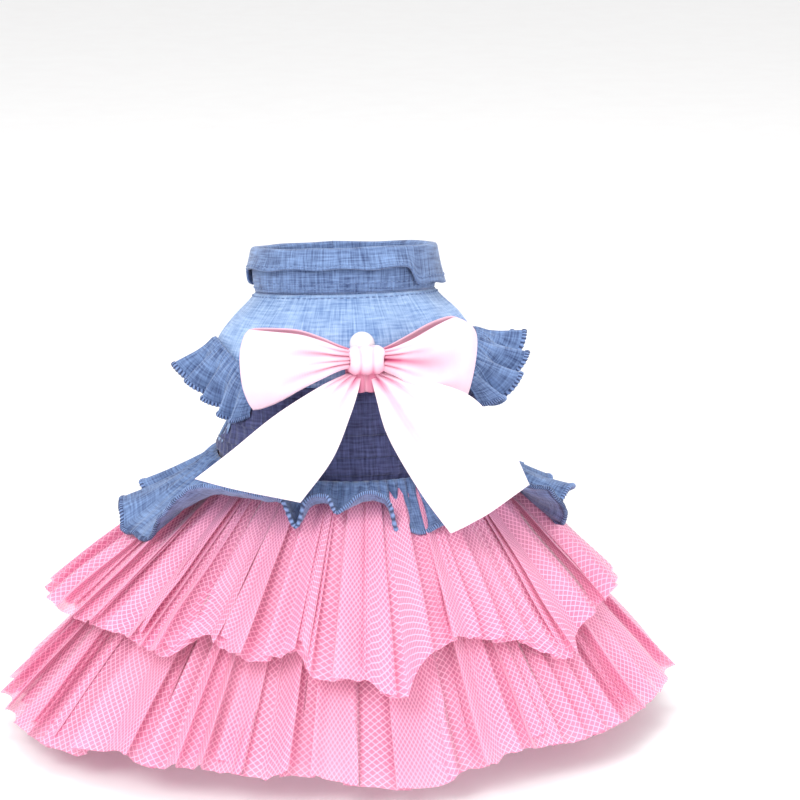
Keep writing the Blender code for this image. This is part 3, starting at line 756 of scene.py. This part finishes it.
def peplum_place(u, v):
    turn = SKIRT_WRAP * (u - 0.5)
    angle = math.degrees(turn)
    out_mm = read(PEPLUM_EDGE, angle, 1)
    rise_mm = read(PEPLUM_EDGE, angle, 2)
    start = bodice_point(turn, 1 - PEPLUM_LAP / BODICE_DROP, 0.0013)
    out = Vector((math.sin(turn), -math.cos(turn), 0))
    gathers = math.sin(math.tau * PEPLUM_GATHERS * u + 3 * math.sin(9 * u))
    fold_in = PEPLUM_GATHER_DEPTH * gathers * math.exp(-3.0 * v) * min(v * 12, 1.0)
    crease = 0.0021 * noise.noise(Vector((u * 30, v * 1.2, 2.0))) * v
    tight = 0.0009 * noise.noise(Vector((u * 80, v * 1.6, 6.0))) * v
    sag = -0.0035 * math.sin(math.pi * v)
    z = -PEPLUM_LAP * min(v * 6, 1.0) + rise_mm / 1000 * v ** 1.25 + sag
    return start + out * (out_mm / 1000 * v ** 0.85 + fold_in + tight) + Vector((0, 0, z + crease + tight))


peplum = cloth("peplum_cloth", 620, 26, peplum_place, (0.45, 0.034), denim, FRILL_WALL)
peplum_edge = overcast("peplum_overcast", peplum_place, 1300, overcast_thread, half=0.0009)
keep(peplum, "denim", "peplum")
keep(peplum_edge, "denim")

# Pearl button. A half-round button of white acrylic with a pearl lacquer, sewn above the knot.
BUTTON_RADIUS = 0.0052
BUTTON_HEIGHT = 0.0045
button_low, button_high = (Vector(corner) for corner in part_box("pearl_button"))
button_middle = (button_low + button_high) / 2
pearl, pearl_shader = new_material("pearl_acrylic", 0.18, Coat_Weight=0.6, Coat_Roughness=0.08, IOR=1.49)
pearl_place = node(pearl, "ShaderNodeTexCoord", {}).outputs["Object"]
pearl_cloud = node(pearl, "ShaderNodeTexNoise", {"Vector": pearl_place, "Scale": 260.0, "Detail": 2.0})
pearl_colour = node(
    pearl, "ShaderNodeMix", {0: pearl_cloud.outputs["Fac"], 6: rgb("#F3E4E6"), 7: rgb("#FFFFFF")}, data_type="RGBA"
)
pearl.node_tree.links.new(pearl_colour.outputs[2], pearl_shader.inputs["Base Color"])

bm = bmesh.new()
bmesh.ops.create_uvsphere(bm, u_segments=40, v_segments=24, radius=1.0)
whole = bm.verts[:] + bm.edges[:] + bm.faces[:]
bmesh.ops.bisect_plane(bm, geom=whole, plane_co=(0, 0, -0.1), plane_no=(0, 0, -1), clear_outer=True)
bmesh.ops.holes_fill(bm, edges=[edge for edge in bm.edges if edge.is_boundary])
button_out = bodice_out(0.0, 0.27)
button_up = Vector((1, 0, 0)).cross(button_out) * -1
button_seat = Vector((0, button_high.y - 0.0012, button_middle.z))
for vert in bm.verts:
    x, y, z = vert.co
    vert.co = button_seat + Vector((1, 0, 0)) * x * BUTTON_RADIUS + button_up * y * BUTTON_RADIUS
    vert.co += button_out * z * BUTTON_HEIGHT
bmesh.ops.recalc_face_normals(bm, faces=bm.faces)
button = finish(bm, "pearl_button_dome", pearl)
keep(button, "pearl", "pearl_button")

# Bow loops. A wide satin ribbon doubled into one loop each side of the knot, which pinches it into sharp creases
# that fan out and fade. The satin is pale pink, with painted shade of deep rose in its creases, where folds face each
# other, near the knot and on the back of each loop.
KNOT_HEIGHT = -0.0150
LOOP_FACE = -0.0609
LOOP_PUFF = 0.0062
# Edges of a loop from the knot out: share of the way, upper edge and lower edge in millimetres, puff as a share.
LEFT_LOOP = (
    (0.00, -10.6, -17.5, 0.30), (0.12, -8.9, -18.2, 0.62), (0.28, -6.0, -20.6, 0.84), (0.50, -3.0, -24.6, 1.00),
    (0.75, -1.8, -30.4, 0.86), (0.92, -1.4, -33.6, 0.50), (1.00, -1.5, -34.7, 0.00),
)
RIGHT_LOOP = (
    (0.00, -11.0, -19.2, 0.30), (0.15, -9.4, -21.4, 0.64), (0.40, -6.0, -26.6, 0.94), (0.62, -2.6, -30.4, 1.00),
    (0.80, -0.4, -33.2, 0.80), (0.93, 0.6, -35.2, 0.46), (1.00, 0.4, -35.9, 0.00),
)
# End of a loop from its lower to its upper corner: place across it from -1 to 1, millimetres from the centre.
LEFT_END = ((-1.0, 45.4), (-0.8, 47.4), (-0.4, 49.6), (0.1, 50.5), (0.5, 50.3), (0.85, 48.6), (1.0, 46.6))
RIGHT_END = ((-1.0, 40.6), (-0.6, 42.9), (-0.1, 44.8), (0.4, 45.6), (0.7, 44.6), (0.9, 40.8), (1.0, 37.0))
# Creases of a loop: place across it at the knot and at its far end, depth in millimetres, width across, how far out.
LEFT_CREASES = (
    (0.30, 0.42, 2.3, 0.13, 0.62), (-0.15, -0.10, 1.6, 0.10, 0.45), (-0.55, -0.62, 2.0, 0.12, 0.70),
    (0.75, 0.80, 1.2, 0.10, 0.40),
)
RIGHT_CREASES = (
    (0.45, 0.60, 2.0, 0.12, 0.55), (0.05, 0.05, 2.6, 0.24, 0.85), (-0.45, -0.55, 1.6, 0.12, 0.50),
    (0.80, 0.88, 1.0, 0.09, 0.45),
)


def satin_finish(name, pale, deep, folds):
    """Polyester satin: long floats of bright thread lie flat on its face, which gives it a smooth, soft gloss along
    the ribbon and a fine cross rib every 0.4 mm, drawn at 0.8 mm. A vertex attribute holds painted shade, which
    turns the pale colour towards the deep one in creases and other shaded places."""
    made, shader = new_material(name, 0.36, Sheen_Weight=0.35, Sheen_Roughness=0.3, IOR=1.5)
    satin_map = node(made, "ShaderNodeUVMap", {}, uv_map="cloth").outputs["UV"]
    rib = node(made, "ShaderNodeTexWave", {"Vector": satin_map, "Scale": 0.39, "Distortion": 0.6}).outputs["Fac"]
    slow = node(made, "ShaderNodeTexNoise", {"Vector": satin_map, "Scale": 0.12, "Detail": 3.0}).outputs["Fac"]
    # Painted shade: the vertex attribute read here turns the satin from pale pink towards deep rose where shade falls.
    painted_shade_amount = node(made, "ShaderNodeAttribute", {}, attribute_name="painted_fold_shade").outputs["Fac"]
    mixed = node(made, "ShaderNodeMath", {0: slow, 1: 0.22, 2: painted_shade_amount}, operation="MULTIPLY_ADD").outputs[0]
    shade = node(made, "ShaderNodeMapRange", {"Value": mixed, "From Min": 0.08, "From Max": 1.12}).outputs[0]
    colour = node(made, "ShaderNodeMix", {0: shade, 6: rgb(pale), 7: rgb(deep)}, data_type="RGBA").outputs[2]
    made.node_tree.links.new(colour, shader.inputs["Base Color"])
    weave = node(made, "ShaderNodeBump", {"Strength": folds, "Distance": 0.0003, "Height": rib})
    made.node_tree.links.new(weave.outputs[0], shader.inputs["Normal"])
    return made


def ribbon(name, columns, rows, place, size, look, painted_fold_shade, wall=0.0007):
    """A satin sheet with painted shade, whose amount at each point a function gives and an attribute keeps."""
    bm = bmesh.new()
    bmesh.ops.create_grid(bm, x_segments=columns, y_segments=rows, size=0.5)
    layer = bm.loops.layers.uv.new("cloth")
    painted_shade_layer = bm.verts.layers.float.new("painted_fold_shade")
    for face in bm.faces:
        for loop in face.loops:
            co = loop.vert.co
            loop[layer].uv = ((co.x + 0.5) * size[0] * 1000, (co.y + 0.5) * size[1] * 1000)
    for vert in bm.verts:
        u, v = vert.co.x + 0.5, vert.co.y + 0.5
        vert[painted_shade_layer] = painted_fold_shade(u, v)
        vert.co = place(u, v)
    bm.normal_update()
    if sum(face.normal.y * face.calc_area() for face in bm.faces) > 0:
        bmesh.ops.reverse_faces(bm, faces=bm.faces)
    return finish(bm, name, look, wall)


def crease_depth(creases, along, across):
    """How deep the ribbon's creases are at a place of a loop; the same depth sets the shade painted in them."""
    depth = 0.0
    for at_knot, at_end, deep, width, reach in creases:
        middle = at_knot + (at_end - at_knot) * along
        fade = max(0.0, 1 - along / reach) ** 0.8
        depth += deep * bump(across - middle, width * (0.8 + 0.8 * along)) * fade
    return depth


def loop_shape(side, edges, end, creases):
    """The place and the painted shade of each point of one loop, from the knot over the front, round its end and back.
    """
    def parts(u, v):
        along = 1 - abs(1 - 2 * u)
        return math.sin(along * math.pi / 2), 1 if u < 0.5 else -1, 2 * v - 1

    def place(u, v):
        along, layer, across = parts(u, v)
        upper, lower = read(edges, along, 1), read(edges, along, 2)
        height = (upper + lower) / 2 + (upper - lower) / 2 * across
        reach = 6.6 + (read(end, across, 1) - 6.6) * along
        deep = crease_depth(creases, along, across) * (1 if layer > 0 else 0.4)
        edge = 1 - 0.35 * across ** 4
        puff = LOOP_PUFF * 1000 * read(edges, along, 3) * edge - deep
        ripple = 0.35 * math.sin(7 * across + 4 * along) * along * (1 - along) * 4
        y = LOOP_FACE * 1000 - layer * (puff + ripple) + 3.0 * along ** 2
        return Vector((side * reach, y, height)) / 1000

    # Painted shade: deep rose in the creases, near the knot and over the back layer of the loop.
    def painted_fold_shade(u, v):
        along, layer, across = parts(u, v)
        shade_near_knot = 0.5 * max(0.0, 1 - along / 0.22)
        shade_on_back_layer = 0.35 if layer < 0 else 0.0
        return min(crease_depth(creases, along, across) / 2.4 + shade_near_knot + shade_on_back_layer, 1.0)

    return place, painted_fold_shade


# Pale pink satin; its deep rose is used only as painted shade.
satin = satin_finish("pink_satin", "#FBD9E7", "#C9557F", 0.10)
for side, label, edges, end, creases in (
    (-1, "left", LEFT_LOOP, LEFT_END, LEFT_CREASES), (1, "right", RIGHT_LOOP, RIGHT_END, RIGHT_CREASES)
):
    place, painted_fold_shade = loop_shape(side, edges, end, creases)
    loop = ribbon(f"bow_loop_{label}_satin", 120, 56, place, (0.092, 0.036), satin, painted_fold_shade)
    keep(loop, "satin", f"bow_loop_{label}")

# Bow tails. The two ends of the ribbon, drawn together under the knot and spread over the peplum. Each is cut
# straight across, and long soft folds run down it from the knot. Their satin is a lighter copy of the loops', with
# the light it catches painted in, so it looks near white.
TAIL_SEAT = -0.0594
# Edges of a tail from the knot down: share of the way, outer edge to the side and down, inner edge to the side and
# down in millimetres, how far it stands out.
LEFT_TAIL = (
    (0.00, 8.0, -20.9, 1.8, -21.6, 0.0), (0.12, 19.0, -24.5, 3.5, -26.0, 4.6), (0.36, 38.0, -33.5, 8.0, -35.0, 12.2),
    (0.68, 57.0, -44.5, 16.8, -50.0, 22.6), (1.00, 72.3, -54.0, 30.4, -66.0, 27.6),
)
RIGHT_TAIL = (
    (0.00, 8.0, -20.9, 1.8, -21.6, 0.0), (0.12, 22.0, -23.0, 3.0, -28.0, 4.6), (0.36, 42.0, -30.0, 7.0, -44.0, 12.2),
    (0.68, 55.5, -48.0, 18.5, -65.0, 22.6), (1.00, 62.4, -62.8, 30.2, -81.6, 27.6),
)
LEFT_TAIL_FOLDS = ((0.20, 0.16, 2.2, 0.10, 0.75), (0.52, 0.45, 1.8, 0.10, 0.60), (0.80, 0.78, 1.4, 0.08, 0.50))
RIGHT_TAIL_FOLDS = ((0.22, 0.30, 2.6, 0.09, 1.05), (0.50, 0.62, 2.0, 0.09, 0.95), (0.78, 0.82, 1.6, 0.08, 0.55))


def tail_shape(side, edges, folds):
    """The place and the painted shade of each point of one tail."""
    def depth(u, v):
        total = 0.0
        for at_knot, at_end, deep, width, reach in folds:
            middle = at_knot + (at_end - at_knot) * u
            fade = max(0.0, 1 - u / reach) ** 0.7 if u < reach else 0.0
            total += deep * bump(v - middle, width) * fade * min(u * 14 + 0.25, 1.0)
        return total

    def place(u, v):
        outer = Vector((read(edges, u, 1), 0, read(edges, u, 2)))
        inner = Vector((read(edges, u, 3), 0, read(edges, u, 4)))
        flat = inner.lerp(outer, v)
        billow = 1.6 * math.sin(math.pi * v) * math.sin(math.pi * min(u * 1.1, 1.0))
        end_bow = 1.2 * math.sin(math.pi * v) * max(0.0, u - 0.9) * 10 * (1 if side > 0 else 0.3)
        soft = 0.8 * math.sin(5.5 * v + 2.0 + side) * u
        y = TAIL_SEAT * 1000 - read(edges, u, 5) - billow + depth(u, v) + soft
        return Vector((side * flat.x, y, flat.z - end_bow)) / 1000

    # Painted shade: deeper pink in the tail's long folds and just below the knot.
    def painted_fold_shade(u, v):
        return min(depth(u, v) / 3.4 + 0.75 * max(0.0, 1 - u / 0.16), 1.0)

    return place, painted_fold_shade


# A lighter copy of the loops' satin: its near white is painted highlight, its deep pink painted shade.
tail_satin_painted_lighter = satin_finish("satin_painted_near_white", "#FDF0F5", "#E08FB0", 0.08)
for side, label, edges, folds in (
    (-1, "left", LEFT_TAIL, LEFT_TAIL_FOLDS), (1, "right", RIGHT_TAIL, RIGHT_TAIL_FOLDS)
):
    place, painted_fold_shade = tail_shape(side, edges, folds)
    tail = ribbon(f"bow_tail_{label}_satin", 84, 56, place, (0.080, 0.040), tail_satin_painted_lighter, painted_fold_shade)
    keep(tail, "satin", f"bow_tail_{label}")

# Knot. A short band of the same ribbon, folded in four and wrapped round the bow's middle from top to bottom, so
# that its folds run over it, and a folded end of it below that is sewn to the bodice.
KNOT_HALF_WIDTH = 0.0071
KNOT_HALF_HEIGHT = 0.0054
KNOT_FRONT = -0.0645
KNOT_BACK = -0.0577


def knot_place(u, v):
    """The band goes once round the bow's middle with u, and from side to side with v."""
    turn = math.tau * u
    across = 2 * v - 1
    folded = 1 + 0.05 * math.cos(3.2 * math.pi * across + 0.4)
    round_off = (1 - 0.10 * across ** 2 - 0.30 * across ** 8) * folded
    up = math.copysign(abs(math.sin(turn)) ** 0.72, math.sin(turn))
    front = math.copysign(abs(math.cos(turn)) ** 0.72, math.cos(turn))
    middle = (KNOT_FRONT + KNOT_BACK) / 2
    y = middle + (KNOT_BACK - KNOT_FRONT) / 2 * front * round_off
    z = KNOT_HEIGHT + KNOT_HALF_HEIGHT * up * round_off
    waist = 1 - 0.08 * math.cos(turn * 2)
    return Vector((KNOT_HALF_WIDTH * across * waist, y, z))


def knot_painted_shade(u, v):
    """Painted shade: the lower half of the band, which turns away from the light, and two creases in it are painted
    deeper.
    """
    lower = max(0.0, -math.sin(math.tau * u))
    crease = bump(2 * v - 1 - 0.35, 0.10) + bump(2 * v - 1 + 0.4, 0.10)
    return min(0.72 * lower + 0.35 * crease, 1.0)


bm = bmesh.new()
bmesh.ops.create_grid(bm, x_segments=64, y_segments=28, size=0.5)
knot_map = bm.loops.layers.uv.new("cloth")
knot_painted_shade_layer = bm.verts.layers.float.new("painted_fold_shade")
for face in bm.faces:
    for corner in face.loops:
        corner[knot_map].uv = ((corner.vert.co.x + 0.5) * 34, (corner.vert.co.y + 0.5) * 15)
for vert in bm.verts:
    u, v = vert.co.x + 0.5, vert.co.y + 0.5
    vert[knot_painted_shade_layer] = knot_painted_shade(u, v)
    vert.co = knot_place(u, v)
bmesh.ops.remove_doubles(bm, verts=bm.verts, dist=0.00001)
bm.normal_update()
knot_middle = Vector((0, (KNOT_FRONT + KNOT_BACK) / 2, KNOT_HEIGHT))
if sum(face.normal.dot(face.calc_center_median() - knot_middle) for face in bm.faces) < 0:
    bmesh.ops.reverse_faces(bm, faces=bm.faces)
knot = finish(bm, "bow_knot_satin", satin, 0.0009)
keep(knot, "satin", "bow_knot")

back_low, back_high = (Vector(corner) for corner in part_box("bow_back"))


def back_place(u, v):
    """The folded end under the knot: pleats side by side, cut straight below."""
    across = 2 * u - 1
    height = back_high.z + (back_low.z - back_high.z) * v
    pleat = 0.0010 * math.cos(3 * math.pi * across)
    y = -0.0592 - 0.0008 * v + 0.0042 * across ** 2 + pleat
    return Vector((0.0075 * across, y, height))


# Painted shade: the folded end under the knot is painted deeper pink all over, and deeper still in bands that follow
# its pleats.
back = ribbon(
    "bow_back_satin", 40, 20, back_place, (0.015, 0.012), satin,
    lambda u, v: min(0.45 + 0.4 * (1 - math.cos(3 * math.pi * (2 * u - 1))) / 2, 1.0), 0.0016,
)
keep(back, "satin", "bow_back")

# Floor. A plain pale sheet of studio paper, flat and wide, that the hem hangs just above.
FLOOR_HEIGHT = -0.183
paper, paper_shader = new_material("studio_paper", 0.9)
paper_place = node(paper, "ShaderNodeTexCoord", {}).outputs["Object"]
paper_grain = node(paper, "ShaderNodeTexNoise", {"Vector": paper_place, "Scale": 40.0}).outputs["Fac"]
paper_colour = node(
    paper, "ShaderNodeMix", {0: paper_grain, 6: rgb("#FBFAFA"), 7: rgb("#FFFFFF")}, data_type="RGBA"
)
paper.node_tree.links.new(paper_colour.outputs[2], paper_shader.inputs["Base Color"])
bm = bmesh.new()
bmesh.ops.create_grid(bm, x_segments=2, y_segments=2, size=6.0)
bmesh.ops.translate(bm, vec=(0, 0, FLOOR_HEIGHT), verts=bm.verts)
floor = finish(bm, "floor", paper)

# Studio light. A bright white room, one large soft light over the left of the camera, one lower on the right, and
# one above the skirt.
world = bpy.data.worlds.new("white_room")
bpy.context.scene.world = world
world.use_nodes = True
world.node_tree.nodes["Background"].inputs["Color"].default_value = (1.0, 1.0, 1.0, 1.0)
world.node_tree.nodes["Background"].inputs["Strength"].default_value = 0.85


def soft_light(name, place, aim, size, power):
    """A square soft light at a place, aimed at a point."""
    lamp = bpy.data.lights.new(name, "AREA")
    lamp.size = size
    lamp.energy = power
    made = bpy.data.objects.new(name, lamp)
    bpy.context.scene.collection.objects.link(made)
    made.location = place
    made.rotation_euler = (Vector(aim) - Vector(place)).to_track_quat("-Z", "Y").to_euler()


soft_light("key_light", (-0.75, -1.05, 0.95), (0, -0.03, -0.06), 0.7, 14.0)
soft_light("fill_light", (1.0, -1.0, 0.35), (0, -0.03, -0.08), 0.9, 5.0)
soft_light("top_light", (0.1, 0.25, 1.2), (0, 0, -0.1), 0.8, 7.0)

# Camera. It looks down a little from behind the dress and slightly left of it, as a long lens does.
AZIMUTH = math.radians(-9)
ELEVATION = math.radians(15)
DISTANCE = 1.3
PIXEL = 0.00042
forward = Vector((
    -math.sin(AZIMUTH) * math.cos(ELEVATION), math.cos(AZIMUTH) * math.cos(ELEVATION), -math.sin(ELEVATION)
))
right = Vector((math.cos(AZIMUTH), math.sin(AZIMUTH), 0))
up = right.cross(forward)
aim = right * (400 - 345) * PIXEL - up * (400 - 290) * PIXEL
lens = bpy.data.cameras.new("camera")
lens.sensor_width = 36
lens.lens = 36 * DISTANCE / (800 * PIXEL)
camera = bpy.data.objects.new("camera", lens)
bpy.context.scene.collection.objects.link(camera)
camera.location = aim - forward * DISTANCE
camera.rotation_euler = forward.to_track_quat("-Z", "Y").to_euler()
bpy.context.scene.camera = camera
bpy.context.scene.view_settings.view_transform = "Standard"
